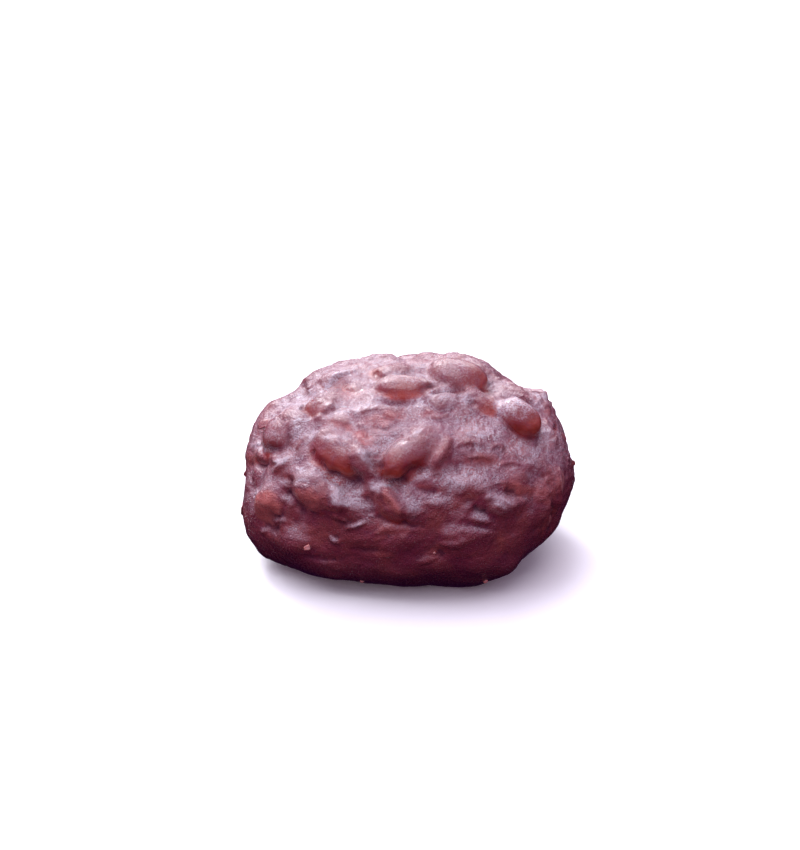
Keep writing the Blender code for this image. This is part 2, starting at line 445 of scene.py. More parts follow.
# Folds that the fingers left: height and width in mm, then the way it runs as azimuth and latitude.
# A height below 0 is a cleft.
FOLDS = [
    (0.80, 1.00, [(-60, 35), (-63, 41), (-61, 48), (-55, 52)]),
    (1.15, 0.50, [(-88, 47), (-92, 52), (-93, 55), (-93, 59), (-95, 62), (-102, 66)]),
    (0.45, 0.40, [(-40, 40), (-32, 40), (-24, 36), (-21, 33)]),
    (0.35, 0.40, [(-6, 42), (0, 46), (10, 48)]),
    (0.70, 1.10, [(12, 27), (16, 32), (21, 37), (26, 40)]),
    (0.40, 0.45, [(13, 53), (21, 50), (28, 50), (36, 53)]),
    (0.50, 0.60, [(25, 35), (31, 36), (37, 34), (39, 32)]),
    (0.50, 0.55, [(40, 29), (46, 31), (48, 29), (47, 27)]),
    (0.40, 0.50, [(30, 29), (36, 29), (40, 26)]),
    (-0.90, 0.60, [(60, 60), (55, 56), (53, 52), (51, 49)]),
    (-0.70, 0.50, [(48, 56), (55, 61), (53, 65), (48, 71), (24, 68), (17, 63)]),
    (-0.70, 0.50, [(24, 68), (17, 63), (19, 58), (25, 53), (35, 52), (44, 54)]),
    (-0.60, 0.60, [(25, 71), (17, 65), (19, 60)]),
    (-0.60, 0.80, [(-30, 61), (-13, 61), (6, 62), (17, 63)]),
    (-0.60, 0.90, [(-87, 12), (-71, 18), (-64, 21), (-64, 25)]),
    (-1.20, 1.20, [(-47, 23), (-40, 22), (-33, 20), (-26, 20), (-21, 24)]),
    (-0.90, 0.80, [(-49, 28), (-47, 26), (-44, 25)]),
    (-0.60, 1.40, [(-21, 33), (-16, 30), (-12, 25)]),
    (-0.90, 1.10, [(-11, 24), (-4, 23), (2, 26), (8, 30)]),
    (-0.90, 0.90, [(-53, 15), (-53, 9), (-52, 3)]),
    (-0.50, 0.90, [(-35, 18), (-32, 14), (-33, 7)]),
    (-0.80, 0.80, [(-81, 8), (-75, 9), (-67, 15)]),
    (-0.30, 0.80, [(-80, 2), (-74, 0), (-70, -4)]),
    (-0.30, 0.80, [(-54, 5), (-53, 0), (-57, -7)]),
    (-0.50, 0.80, [(-65, -10), (-60, -11), (-55, -7)]),
    (0.25, 0.60, [(20, 6), (29, 3), (36, 0), (39, -3)]),
    (-0.50, 0.70, [(21, 1), (30, 0), (37, -2)]),
    (0.60, 0.70, [(15, -8), (19, -5), (25, -4)]),
    (-0.25, 0.80, [(13, -11), (16, -12), (14, -16)]),
    (0.50, 0.60, [(4, -19), (9, -17), (14, -14)]),
    (0.60, 0.80, [(59, 4), (59, -2), (60, -10), (63, -18)]),
    (-0.80, 0.70, [(60, 3), (64, -6), (66, -16)]),
    (0.60, 0.80, [(66, 12), (64, 6), (66, -5)]),
    (0.45, 0.60, [(-60, -8), (-55, -4), (-53, -4)]),
    (0.40, 0.60, [(-66, -13), (-60, -9)]),
    (0.55, 0.60, [(-28, -2), (-23, 0), (-18, 4)]),
    (0.45, 0.50, [(-35, -7), (-32, -10), (-28, -7)]),
    (0.35, 0.50, [(-32, 5), (-30, 3), (-26, 3)]),
    (0.80, 1.60, [(-14, 18), (-7, 13), (-2, 7)]),
    (-0.60, 0.90, [(-8, 22), (-2, 18), (2, 12)]),
    (0.80, 1.00, [(101, 29), (89, 28), (86, 22)]),
    (-0.70, 0.70, [(85, 35), (81, 29), (66, 27)]),
    (-0.80, 0.80, [(42, 14), (45, 11), (51, 7)]),
    (0.35, 0.90, [(32, 12), (35, 12), (40, 10), (44, 5)]),
    (-0.60, 0.80, [(28, 10), (31, 6), (34, 7)]),
    (0.40, 0.50, [(-58, 24), (-58, 28), (-57, 32)]),
    (0.50, 0.50, [(-51, 18), (-47, 21), (-41, 21)]),
    (-0.50, 0.50, [(-49, 13), (-43, 16), (-36, 16)]),
    (0.50, 0.70, [(-72, 9), (-65, 15), (-61, 19)]),
    (0.35, 0.50, [(-37, 51), (-31, 55), (-21, 57)]),
    (0.40, 0.50, [(-41, 47), (-31, 45), (-25, 39)]),
    (-0.50, 0.60, [(-51, 49), (-40, 48), (-32, 44)]),
    (0.30, 0.45, [(-19, 54), (-9, 52), (-2, 53)]),
    (-0.40, 0.50, [(-26, 47), (-17, 46), (-10, 46)]),
    (0.50, 0.60, [(-88, 11), (-83, 15), (-75, 18)]),
    (-0.70, 0.60, [(-111, 34), (-98, 38), (-93, 37)]),
    (0.40, 0.50, [(66, 75), (92, 79), (109, 76), (116, 69)]),
    (-1.30, 0.80, [(24, 66), (40, 65), (50, 62), (59, 59), (68, 57)]),
    (-0.50, 0.60, [(-83, 74), (-63, 75), (-48, 78)]),
    (-0.50, 0.60, [(-59, 45), (-61, 49), (-66, 51)]),
    (-0.40, 0.70, [(4, 20), (10, 17), (15, 17)]),
    (-0.40, 0.60, [(23, 26), (26, 23), (32, 22)]),
    (0.35, 0.50, [(43, 23), (49, 22), (52, 19)]),
    (-0.40, 0.60, [(51, 24), (53, 21), (58, 20)]),
    (-0.40, 0.80, [(-47, -17), (-40, -19), (-31, -18)]),
    (-0.40, 0.90, [(-26, -11), (-17, -12), (-7, -10)]),
    (0.35, 0.70, [(-16, -3), (-9, 0), (-2, 0)]),
    (-0.45, 0.70, [(-3, 5), (2, 2), (8, 3)]),
]


def cut_corners(ways):
    """The same curve with its corners rounded off."""
    softer = [ways[0]]
    for first, last in zip(ways, ways[1:]):
        softer += [first.slerp(last, 0.25), first.slerp(last, 0.75)]
    return softer + [ways[-1]]


def line_on_coat(path):
    """Points close together on the coat, along a path of azimuths and latitudes."""
    ways = cut_corners(cut_corners([direction(*step) for step in path]))
    line = []
    for first, last in zip(ways, ways[1:]):
        count = max(int(first.angle(last) / 0.012), 1)
        for i in range(count):
            way = first.slerp(last, i / count)
            line.append(met(soft_skin, way)[0])
    return np.array(line)


lift = np.zeros(len(place))
for number, (rise, width, path) in enumerate(FOLDS):
    line = line_on_coat(path)
    runs = np.gradient(line, axis=0)
    middle = line.mean(axis=0)
    radius = np.linalg.norm(line - middle, axis=1).max() + 4 * width * MM
    index = points_near(middle, radius)
    apart = np.linalg.norm(place[index][:, None, :] - line[None, :, :], axis=2)
    nearest = apart.argmin(axis=1)
    distance = apart.min(axis=1)
    across = np.cross(outward[index], runs[nearest])
    across *= np.sign(across[:, 2] + 1e-9)[:, None]
    lower = ((place[index] - line[nearest]) * across).sum(axis=1) < 0
    share = nearest / max(len(line) - 1, 1)
    taper = eased(share, -0.05, 0.3) * eased(-share, -1.05, -0.7)
    uneven = 1 + 0.45 * lumps(place[index], (1.4 + width) * MM, number)
    spread = width * MM * uneven * np.where(lower & (rise > 0), 0.6, 1.0)
    lift[index] += rise * MM * taper * uneven * np.exp(-((distance / spread) ** 2))
place += outward * lift[:, None]

# Patches that lie turned up with a painted pale sheen, some of them painted highlights on bean tops
# (above 0),
# or turned down and brown (below 0): azimuth, latitude, turn, half-length and half-width in mm, then how
# much.
PATCHES = [
    (-27, 13, -42, 4.1, 2.7, 0.9),
    (-44, 19, 5, 5.0, 1.5, 0.5),
    (-47, 14, 15, 2.6, 0.7, 0.6),
    (-11, 21, 18, 3.0, 1.5, 0.8),
    (2, 12, -76, 3.4, 1.5, 0.7),
    (8, 26, 18, 2.6, 1.3, 0.7),
    (25, 22, -12, 5.3, 2.3, 0.6),
    (21, 18, 84, 1.8, 1.5, 0.6),
    (38, 10, -25, 3.2, 2.3, 0.8),
    (31, 5, -50, 2.2, 1.4, 0.7),
    (19, -5, 15, 3.0, 0.7, 0.6),
    (13, 14, -4, 1.5, 1.3, 0.5),
    (36, 62, -15, 3.4, 3.2, 0.5),
    (50, 51, -86, 2.5, 1.7, 0.6),
    (42, 40, -31, 3.4, 2.4, 0.7),
    (55, 23, -37, 4.2, 2.3, 0.4),
    (73, 24, -119, 2.4, 2.8, 0.6),
    (92, 29, -96, 2.9, 4.5, 0.7),
    (-50, 50, 35, 5.7, 1.8, 0.6),
    (-54, 37, 61, 3.4, 1.5, 0.6),
    (-8, 61, 3, 4.8, 1.5, 0.6),
    (-21, 33, -52, 2.3, 1.7, 0.7),
    (-12, 39, 47, 1.9, 1.6, 0.5),
    (-65, 32, 103, 2.7, 2.1, 0.5),
    (-79, 15, 20, 6.1, 0.9, 0.9),
    (-62, 17, 50, 2.4, 1.1, 0.9),
    (-62, 8, 21, 4.4, 2.1, 0.4),
    (-70, 1, 25, 3.0, 1.2, 0.6),
    (-55, -4, 28, 2.4, 0.8, 0.7),
    (-63, -11, 22, 2.0, 0.5, 0.6),
    (-21, 2, 37, 1.9, 0.8, 0.7),
    (-32, -8, -27, 1.5, 0.8, 0.6),
    (-27, 3, -29, 1.3, 0.6, 0.5),
    (-54, 6, 33, 1.5, 0.7, 0.5),
    (56, -9, 47, 1.1, 1.6, 0.4),
    (-88, 36, 69, 5.3, 4.9, 0.7),
    (-18, 52, 18, 4.1, 1.6, -0.5),
    (-28, 40, -26, 2.9, 1.3, -0.6),
    (-45, 42, 4, 2.9, 0.8, -0.4),
    (-43, 9, 14, 3.7, 2.3, -0.8),
    (-7, 13, -54, 3.3, 1.1, -0.7),
    (39, 26, -12, 2.8, 1.3, -0.5),
    (53, 46, -60, 2.2, 1.5, -0.4),
    (16, 33, 54, 3.1, 1.8, -0.2),
    (18, 54, 4, 3.8, 0.9, -0.3),
    (27, 14, -8, 1.9, 1.1, -0.4),
    (47, 12, -24, 4.0, 1.5, -0.7),
    (60, 8, 67, 4.5, 3.3, -0.5),
    (-62, -1, 51, 4.5, 2.6, -0.8),
    (-84, 7, 28, 6.6, 1.3, -0.6),
    (-64, 57, 33, 2.4, 1.4, -0.3),
    (106, 32, -90, 2.1, 4.4, -0.5),
    (87, 26, -35, 3.7, 1.9, -0.6),
    (8, 20, -2, 2.2, 0.9, -0.4),
    (-7, 0, 2, 4.1, 1.3, -0.4),
    (-30, 8, 5, 2.7, 0.8, -0.6),
    (-97, 4, 88, 4.8, 1.2, -0.8),
    (-93, 56, 131, 5.4, 0.60, 1.0),
    (-85, 26, 30, 2.4, 1.2, 0.9),
    (-45, 34, 20, 1.8, 0.9, 0.7),
    (6, 43, 40, 1.5, 0.8, 0.7),
    (66, 39, -40, 4.2, 2.8, 1.0),
    (75, 36, -60, 3.4, 2.4, 1.0),
    (-74, 21, 30, 3.6, 1.8, 0.6),
    (-62, -3, 52, 3.6, 2.4, -0.9),
    (-99, 57, 62, 4.0, 2.4, 0.7),
]
PATCH_TILT = 0.70  # how steeply they turn, as a slope
sheen_and_brown = np.zeros(len(place))
lift = np.zeros(len(place))
for number, (azimuth, latitude, turn, half_length, half_width, strength) in enumerate(PATCHES):
    point, along, across, _ = axes_at(azimuth, latitude, turn)
    index = points_near(point, 2.2 * max(half_length, half_width) * MM)
    offset = place[index] - np.array(point)
    u = offset @ np.array(along) / (half_length * MM)
    v = offset @ np.array(across) / (half_width * MM)
    reach = np.hypot(u, v) + 0.5 * lumps(place[index], 1.6 * MM, number)
    share = np.exp(-np.maximum(reach, 0) ** 3)
    upward = 1 if across.z > 0 else -1
    tilt = strength * PATCH_TILT * (1 - 0.8 * bare[index]) * half_width * MM
    lift[index] -= tilt * upward * v * np.exp(-(u**2) - v**2)
    sheen_and_brown[index] += strength * share
sheen_and_brown = np.clip(sheen_and_brown, -1, 1)
place += outward * lift[:, None]
put_points(coat, place)
outward = normals_of(coat)

# Each stretch of paste has its own direction, and its streaks and creases follow that.
STRETCHES = 420
STRETCHES_LOWEST = -70  # degrees
chance = random.Random(7)
centres = []
for azimuth, latitude in spiral(STRETCHES, STRETCHES_LOWEST, chance):
    point, out = on_coat(azimuth, latitude)
    along = smear(point, out, 80)
    centres.append((point, along, out.cross(along)))
stretches = tree_of([row[0] for row in centres])
wander = np.stack([lumps(place, 2.5 * MM, seed) for seed in (21, 22, 23)], axis=1) * 1.6 * MM
two_nearest = [stretches.find_n(point, 2) for point in (place + wander).tolist()]
own_stretch = np.array([pair[0][1] for pair in two_nearest])
# Streaks and creases fade out where one stretch meets the next.
within = eased(np.array([pair[1][2] - pair[0][2] for pair in two_nearest]), 0.5 * MM, 1.7 * MM)
starts = np.array([row[0] for row in centres])[own_stretch]
alongs = np.array([row[1] for row in centres])[own_stretch]
acrosses = np.array([row[2] for row in centres])[own_stretch]
grain = np.zeros((len(place), 3))
grain[:, 0] = ((place - starts) * alongs).sum(axis=1)
grain[:, 1] = ((place - starts) * acrosses).sum(axis=1)
grain[:, 2] = own_stretch * 0.013

# Shingled scraps: how many, half-length in mm, width as a share of it, and height in mm.
SCRAP_SORTS = [
    (60, (3.6, 6.0), (0.45, 0.75), (0.14, 0.34)),
    (130, (2.0, 3.8), (0.40, 0.70), (0.08, 0.24)),
    (240, (0.8, 1.9), (0.30, 0.70), (0.05, 0.16)),
]
SCRAPS_LOWEST = -64  # degrees
height = np.zeros(len(place))
tone = 0.5 + 0.6 * lumps(place, 5 * MM, 1)
for count, half_lengths, shares, heights in SCRAP_SORTS:
    for azimuth, latitude in spiral(count, SCRAPS_LOWEST, chance):
        point, out = on_coat(azimuth, latitude)
        half_length = chance.uniform(*half_lengths) * MM
        half_width = half_length * chance.uniform(*shares)
        rise = chance.uniform(*heights) * MM
        steepness = chance.uniform(2, 7)
        shade = chance.random()
        along = smear(point, out, 110)
        across = out.cross(along)
        index = points_near(point, half_length * 1.3)
        if len(index) == 0:
            continue
        offset = place[index] - np.array(point)
        ragged = 0.32 * lumps(place[index], 0.5 * half_width, 9 + shade)
        u = offset @ np.array(along)
        v = offset @ np.array(across)
        reach = np.sqrt((u / half_length) ** 2 + (v / half_width) ** 2) + ragged
        inside = (reach < 1) & (outward[index] @ np.array(out) > 0.2)
        lower = np.clip(0.5 - 0.5 * v / half_width, 0, 1)
        top = rise * (0.25 + 0.75 * lower) * np.maximum(1 - np.maximum(reach, 0) ** steepness, 0)
        base = 0.5 * height[index[0]]
        level = base + top
        wins = inside & (level > height[index])
        chosen = index[wins]
        height[chosen] = level[wins]
        tone[chosen] = 0.6 * tone[chosen] + 0.4 * shade

# Crumples drawn out along the smear, in some places more than in others, and calmer low down.
crumpled = eased(lumps(place, 9 * MM, 31), -0.25, 0.35)
drawn_out = grain * np.array((0.75, 1.0, 1.0))
folds = within * lumps(drawn_out, 1.7 * MM, 5)
fine_folds = within * lumps(drawn_out, 0.8 * MM, 6)
calm = 0.35 + 0.60 * eased(place[:, 2], 8 * MM, 24 * MM)
height += calm * (0.15 + 0.85 * crumpled) * MM * (0.17 * folds + 0.10 * fine_folds)
height += calm * 0.15 * MM * lumps(place, 2.8 * MM, 3)
height += calm * 0.13 * MM * lumps(place, 1.2 * MM, 4)
height *= 1 - 0.80 * bare
height += 0.08 * MM * film * (1 - bare)

# Coarse mash stands up in crumbs: azimuth and latitude in degrees, then how wide in mm.
CRUMBLY = [
    (92, 29, 7),
    (84, 8, 6),
    (100, 45, 7),
    (-95, 35, 5),
    (145, 55, 9),
    (180, 60, 8),
    (-145, 55, 9),
    (170, 15, 9),
]
crumbly = np.zeros(len(place))
for azimuth, latitude, wide in CRUMBLY:
    crumbly = np.maximum(crumbly, nearness(place, on_coat(azimuth, latitude)[0], wide))
coarse = np.maximum(lumps(place, 1.1 * MM, 51), 0)
coarse += 0.6 * np.maximum(lumps(place, 0.75 * MM, 52), 0)
height += 0.50 * MM * crumbly * coarse * (1 - 0.7 * bare)

# The bare skins are a little wrinkled along the bean.
wrinkles = lumps(bean_at * np.array((0.8, 2.6, 2.6)), 1.0, 8)
height += 0.10 * MM * bare * wrinkles
place = place + outward * height[:, None]

# The foot has settled flat.
place[:, 2] = np.maximum(place[:, 2], 0)
put_points(coat, place)

outward = normals_of(coat)


def sunk_below(rounds):
    """How far each point lies below its surroundings, which reach farther with more rounds."""
    return ((evened(place, pairs, rounds) - place) * outward).sum(axis=1)


hollow = np.clip(sunk_below(10) / (0.14 * MM), -1, 1)
deep = np.clip(sunk_below(60) / (0.45 * MM), -1, 1)
skyward = blurred(outward[:, 2], pairs, 2)


def keep(piece, name, values):
    """Stores a value or a vector for each point, for the piece's material."""
    kind = "FLOAT" if values.ndim == 1 else "FLOAT_VECTOR"
    layer = piece.data.attributes.new(name, kind, "POINT")
    layer.data.foreach_set("value" if values.ndim == 1 else "vector", values.reshape(-1))


keep(coat, "hollow", hollow)  # 1 in a small pit, -1 on a crumb
keep(coat, "deep", deep)  # 1 in a wide cleft, -1 on a bean
keep(coat, "tone", tone)  # differs from scrap to scrap
keep(coat, "bare", bare)  # 1 on a bean's bare skin
keep(coat, "redness_and_glow", redness_and_glow)  # of that skin, with painted glow on its lower side
keep(coat, "skyward", skyward)  # 1 level, 0 upright, -1 hanging
keep(coat, "grain", grain)  # along and across the smear
keep(coat, "within", within)  # 1 inside a stretch, 0 at its edge
keep(coat, "sheen_and_brown", sheen_and_brown)  # 1 turned up with painted sheen, -1 turned down and brown
pick_only(coat)
bpy.ops.object.shade_smooth()


class Finish:
    """A material under work: nodes are added and joined by short calls."""

    def __init__(self, name):
        self.material = bpy.data.materials.new(name)
        self.material.use_nodes = True
        self.tree = self.material.node_tree
        self.shader = self.tree.nodes["Principled BSDF"]

    def node(self, kind, inputs=(), **settings):
        made = self.tree.nodes.new(kind)
        for name, value in settings.items():
            setattr(made, name, value)
        for slot, value in dict(inputs).items():
            self.join(value, made.inputs[slot])
        return made

    def join(self, value, slot):
        if isinstance(value, bpy.types.NodeSocket):
            self.tree.links.new(value, slot)
        else:
            slot.default_value = value

    def stored(self, name, output="Fac"):
        """What keep() stored under that name."""
        return self.node("ShaderNodeAttribute", attribute_name=name).outputs[output]

    def cloud(self, vector, scale, detail=3.0, roughness=0.55):
        """A cloudy pattern: a higher scale makes it finer."""
        inputs = {"Vector": vector, "Scale": scale, "Detail": detail, "Roughness": roughness}
        return self.node("ShaderNodeTexNoise", inputs).outputs["Fac"]

    def span(self, value, low, high, to_low=0.0, to_high=1.0):
        """Carries low..high to to_low..to_high, and stays there beyond the two ends."""
        inputs = {"Value": value, "From Min": low, "From Max": high, "To Min": to_low, "To Max": to_high}
        return self.node("ShaderNodeMapRange", inputs).outputs["Result"]

    def blend(self, share, first, second):
        """The first colour, turning into the second as the share goes from 0 to 1."""
        return self.node("ShaderNodeMix", {0: share, 6: first, 7: second}, data_type="RGBA").outputs[2]

    def reckon(self, operation, first, second):
        return self.node("ShaderNodeMath", {0: first, 1: second}, operation=operation).outputs[0]

    def plus(self, first, second):
        return self.reckon("ADD", first, second)

    def minus(self, first, second):
        return self.reckon("SUBTRACT", first, second)

    def times(self, first, second):
        return self.reckon("MULTIPLY", first, second)

    def give(self, settings):
        """Sets the shader's own sockets, or joins a pattern to them."""
        for name, value in settings.items():
            self.join(value, self.shader.inputs[name])


paste = Finish("bean_paste")
where = paste.node("ShaderNodeTexCoord").outputs["Object"]
up_value = paste.node("ShaderNodeSeparateXYZ", {0: where}).outputs["Z"]
hollow_value = paste.stored("hollow")
deep_value = paste.stored("deep")
tone_value = paste.stored("tone")
bare_value = paste.stored("bare")
redness_and_glow_value = paste.stored("redness_and_glow")
skyward_value = paste.stored("skyward")
within_value = paste.stored("within")
grain_value = paste.stored("grain", "Vector")
sheen_and_brown_value = paste.stored("sheen_and_brown")

# Patterns, from the broadest to the finest, and streaks that are drawn out along the smear.
broad = paste.cloud(where, 140, 4, 0.6)
mottle = paste.cloud(where, 330, 5, 0.6)
grainy = paste.cloud(where, 1100, 3, 0.6)
specks = paste.cloud(where, 3000, 3, 0.6)
longwise = {0: grain_value, 1: (0.3, 1.0, 1.0)}
stretched = paste.node("ShaderNodeVectorMath", longwise, operation="MULTIPLY").outputs[0]
streaks = paste.minus(paste.cloud(stretched, 1300, 4), 0.5)
streaks = paste.plus(paste.times(streaks, within_value), 0.5)

# The first two colours are painted shade: one for pits and clefts, one toward the foot.
SHADE_MAROON = (0.045, 0.003, 0.022, 1)
FOOT_SHADE_MAROON = (0.024, 0.002, 0.017, 1)
PASTE_BROWN = (0.155, 0.022, 0.048, 1)
BEAN_PINK = (0.260, 0.062, 0.056, 1)
SKIN_RED = (0.185, 0.018, 0.011, 1)
# Painted glow, for light shining through a bean's lower side.
SKIN_PAINTED_GLOW = (0.320, 0.052, 0.032, 1)
BARE_BROWN = (0.500, 0.150, 0.130, 1)
SKIN_MAUVE = (0.170, 0.034, 0.040, 1)
# Painted sheen: a pale colour that stands for the lights' reflection on the wet paste and skins.
PAINTED_SHEEN = (0.375, 0.295, 0.335, 1)
RED_SCATTER = (1.0, 0.30, 0.20)  # how far red, green and blue light go into bean, as shares

# The mash itself, brown with pink bits, and mauve where a bean lifts it.
colour = paste.blend(paste.span(tone_value, 0.30, 0.95), PASTE_BROWN, BEAN_PINK)
raised = paste.span(deep_value, 0.05, -0.55)
colour = paste.blend(paste.times(raised, 0.7), colour, SKIN_MAUVE)
colour = paste.blend(paste.span(streaks, 0.45, 0.70, 0, 0.25), colour, BEAN_PINK)
colour = paste.blend(paste.span(mottle, 0.42, 0.65, 0, 0.6), colour, PASTE_BROWN)

# The bare skins, from mauve to red, painted redder toward the lower side, with a bright painted glow
# where light comes through.
skin = paste.blend(paste.span(redness_and_glow_value, 0.0, 1.0), SKIN_MAUVE, SKIN_RED)
skin = paste.blend(paste.span(redness_and_glow_value, 1.2, 1.6), skin, SKIN_PAINTED_GLOW)
skin = paste.blend(paste.span(mottle, 0.45, 0.62, 0, 0.45), skin, PASTE_BROWN)
colour = paste.blend(paste.times(bare_value, 0.9), colour, skin)

# Brown where a patch is turned down, painted shade that darkens toward the foot, and painted shade
# darkest in pits and clefts.
colour = paste.blend(paste.span(sheen_and_brown_value, -0.1, -0.9, 0, 0.8), colour, BARE_BROWN)
# Painted shade: darker toward the foot, where less light reaches.
colour = paste.blend(paste.span(up_value, 2 * MM, 11 * MM, 0.92, 0.0), colour, FOOT_SHADE_MAROON)
# Painted shade in pits and clefts, most where the surface faces down.
overhung = paste.span(skyward_value, 0.65, 0.0, 0.2, 1.0)
pit_shade = paste.times(paste.span(hollow_value, 0.0, 1.0, 0, 0.72), overhung)
colour = paste.blend(pit_shade, colour, SHADE_MAROON)
overhung = paste.times(overhung, paste.span(sheen_and_brown_value, -0.9, 0.0, 0.25, 1.0))
cleft_shade = paste.times(paste.span(deep_value, 0.1, 1.0, 0, 0.52), overhung)
colour = paste.blend(cleft_shade, colour, SHADE_MAROON)

# Painted sheen: a pale bloom painted on what faces the sky, where the lights above would shine on the
# wet paste, in grains and streaks, and thickest where it is turned up.
patchy = paste.times(paste.minus(mottle, 0.5), 0.8)
sheen_on_paste = paste.span(paste.plus(skyward_value, patchy), 0.08, 0.48)
sheen_on_paste = paste.times(sheen_on_paste, paste.span(specks, 0.40, 0.58, 0.25, 1.25))
sheen_on_paste = paste.times(sheen_on_paste, paste.span(up_value, 4 * MM, 13 * MM, 0.5, 1.0))
sheen_on_paste = paste.times(sheen_on_paste, paste.span(hollow_value, 1.0, 0.1, 0.4, 1.0))
held = paste.times(raised, paste.span(sheen_and_brown_value, 0.0, 0.7, 0.8, 0.0))
sheen_on_paste = paste.times(sheen_on_paste, paste.minus(1.0, held))
sheen_on_paste = paste.times(sheen_on_paste, paste.span(streaks, 0.40, 0.60, 0.35, 1.2))
sheen_on_paste = paste.times(sheen_on_paste, paste.span(broad, 0.38, 0.56, 0.50, 0.8))
sheen_on_paste = paste.times(sheen_on_paste, paste.span(sheen_and_brown_value, -1.0, 1.0, 0.2, 1.8))
sheen_turned_up = paste.times(paste.span(sheen_and_brown_value, 0.3, 1.0, 0.0, 0.35), paste.span(streaks, 0.35, 0.60))
sheen_on_paste = paste.plus(sheen_on_paste, sheen_turned_up)
# Painted highlights and sheen on the beans' upper skins, brightest at the listed patches.
sheen_on_skin = paste.span(skyward_value, 0.40, 0.95, 0.0, 0.30)
sheen_on_skin = paste.plus(sheen_on_skin, paste.span(sheen_and_brown_value, 0.2, 1.0, 0.0, 1.0))
sheen_on_skin = paste.times(sheen_on_skin, paste.span(specks, 0.42, 0.60, 0.15, 1.2))
sheen_on_skin = paste.times(sheen_on_skin, paste.span(mottle, 0.35, 0.60, 0.4, 1.0))
share = paste.times(bare_value, paste.span(redness_and_glow_value, 0.1, 0.9, 0.60, 0.95))
both = paste.node("ShaderNodeMix", {0: share, 2: sheen_on_paste, 3: sheen_on_skin}, data_type="FLOAT")
colour = paste.blend(both.outputs[0], colour, PAINTED_SHEEN)

# Syrup makes it glossy, less so in pits and clefts.
rough = paste.span(specks, 0.35, 0.7, 0.34, 0.18)
rough = paste.plus(rough, paste.span(hollow_value, 0.0, 0.8, 0, 0.45))
rough = paste.plus(rough, paste.span(deep_value, 0.2, 1.0, 0, 0.3))
rough = paste.minus(rough, paste.times(bare_value, 0.10))

# The finest crumple, softer on bare skin, and a wet film over it with ripples of its own.
relief = paste.plus(paste.times(streaks, 0.75), paste.times(specks, 0.8))
relief = paste.plus(relief, paste.times(mottle, 0.4))
relief = paste.plus(relief, paste.times(grainy, 0.4))
relief = paste.times(relief, paste.span(bare_value, 0, 1, 1.0, 0.45))
relief = paste.times(relief, paste.span(broad, 0.35, 0.60, 0.55, 1.0))
relief = paste.times(relief, paste.span(skyward_value, -0.4, 0.4, 0.35, 1.0))
crumple = paste.node("ShaderNodeBump", {"Height": relief, "Distance": 0.42 * MM, "Strength": 1.0})
wet = paste.plus(paste.times(mottle, 0.9), paste.times(grainy, 0.5))
wet = paste.plus(wet, paste.span(specks, 0.50, 0.70, 0.0, 0.8))
wet = paste.times(wet, paste.span(bare_value, 0, 1, 1.0, 0.5))
syrup = paste.node("ShaderNodeBump", {"Height": wet, "Distance": 0.36 * MM, "Strength": 1.0})
tucked = paste.times(bare_value, paste.span(redness_and_glow_value, 0.3, 1.0, 0.0, 0.45))
paste.give({
    "Base Color": colour,
    "Roughness": rough,
    "Normal": crumple.outputs["Normal"],
    "Specular IOR Level": 0.55,
    "Subsurface Weight": paste.span(bare_value, 0, 1, 0.06, 0.35),
    "Subsurface Radius": RED_SCATTER,
    "Subsurface Scale": 0.8 * MM,
    "Coat Weight": paste.minus(0.7, tucked),
    "Coat Roughness": 0.07,
    "Coat Normal": syrup.outputs["Normal"],
})
coat.data.materials.append(paste.material)
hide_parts("botamochi")
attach(coat, "root")

# ---------------------------------------------------------------------------
# The loose bean skins. Mashing strips the skins off the beans, thin and limp, and they lie on the
# coat in flakes, stuck down by the syrup, with an edge or a fold that stands up here and there.
# ---------------------------------------------------------------------------
finished_skin = skin_of(coat)
bpy.ops.mesh.primitive_grid_add(x_subdivisions=8, y_subdivisions=5, size=2)
flat_flake = bpy.context.object
square = points_of(flat_flake)
round_x = square[:, 0] * np.sqrt(1 - 0.5 * square[:, 1] ** 2)
round_y = square[:, 1] * np.sqrt(1 - 0.5 * square[:, 0] ** 2)
flat_shape = np.stack([round_x, round_y, np.zeros(len(square))], axis=1)
put_points(flat_flake, flat_shape)

FLAKE_THICKNESS = 0.14 * MM
# Azimuth, latitude and turn in degrees, length, width and curl of one edge in mm, then how pale.
SKINS = [
    (62, -5, 78, 4.4, 1.4, 0.6, 0.3),
    (66, 8, 80, 5.0, 1.6, 0.5, 0.4),
    (-84, -12, 70, 3.6, 1.6, 0.5, 0.3),
    (-90, 20, 60, 3.6, 1.6, 0.15, 0.4),
    (96, 30, 60, 4.0, 2.2, 0.6, 0.7),
    (88, 14, 80, 2.0, 0.8, 0.8, 0.3),
    (85, 5, 100, 1.8, 0.8, 0.8, 0.2),
    (-93, -3, 80, 1.5, 1.1, 0.9, 0.2),
]
flakes = []
for number, (azimuth, latitude, turn, length, width, curl, paleness) in enumerate(SKINS):
    way = direction(azimuth, latitude)
    start = met(finished_skin, way)[0]
    level = UP.cross(way).normalized()
    along = Matrix.Rotation(math.radians(turn), 3, way) @ level
    across = way.cross(along)
    ragged = 1 + min(0.5, 1.2 / length) * lumps(flat_shape, 0.5, number)
    wave = lumps(flat_shape, 0.5, number + 0.5)
    shape = []
    for (u, v, _), grow, wavy in zip(flat_shape, ragged, wave):
        aside = start + (along * u * length + across * v * width) * 0.5 * MM * grow
        point = met(finished_skin, (aside - MIDDLE).normalized())[0] or aside
        lifted = 0.03 + curl * max(-v - 0.2, 0) ** 2 + 0.10 * wavy * (u * u + v * v)
        shape.append(point + way * max(lifted, -0.05) * MM)
    flake = copy_of(flat_flake)
    put_points(flake, np.array(shape))
    keep(flake, "tone", np.full(len(shape), paleness))
    work(flake, "SOLIDIFY", thickness=FLAKE_THICKNESS, offset=0.0)
    flakes.append(flake)
bpy.data.objects.remove(flat_flake)
bean_skins = join_up(flakes)
bean_skins.name = "bean_skins"
bean_skins.data.name = "bean_skins"
bpy.ops.object.shade_smooth()

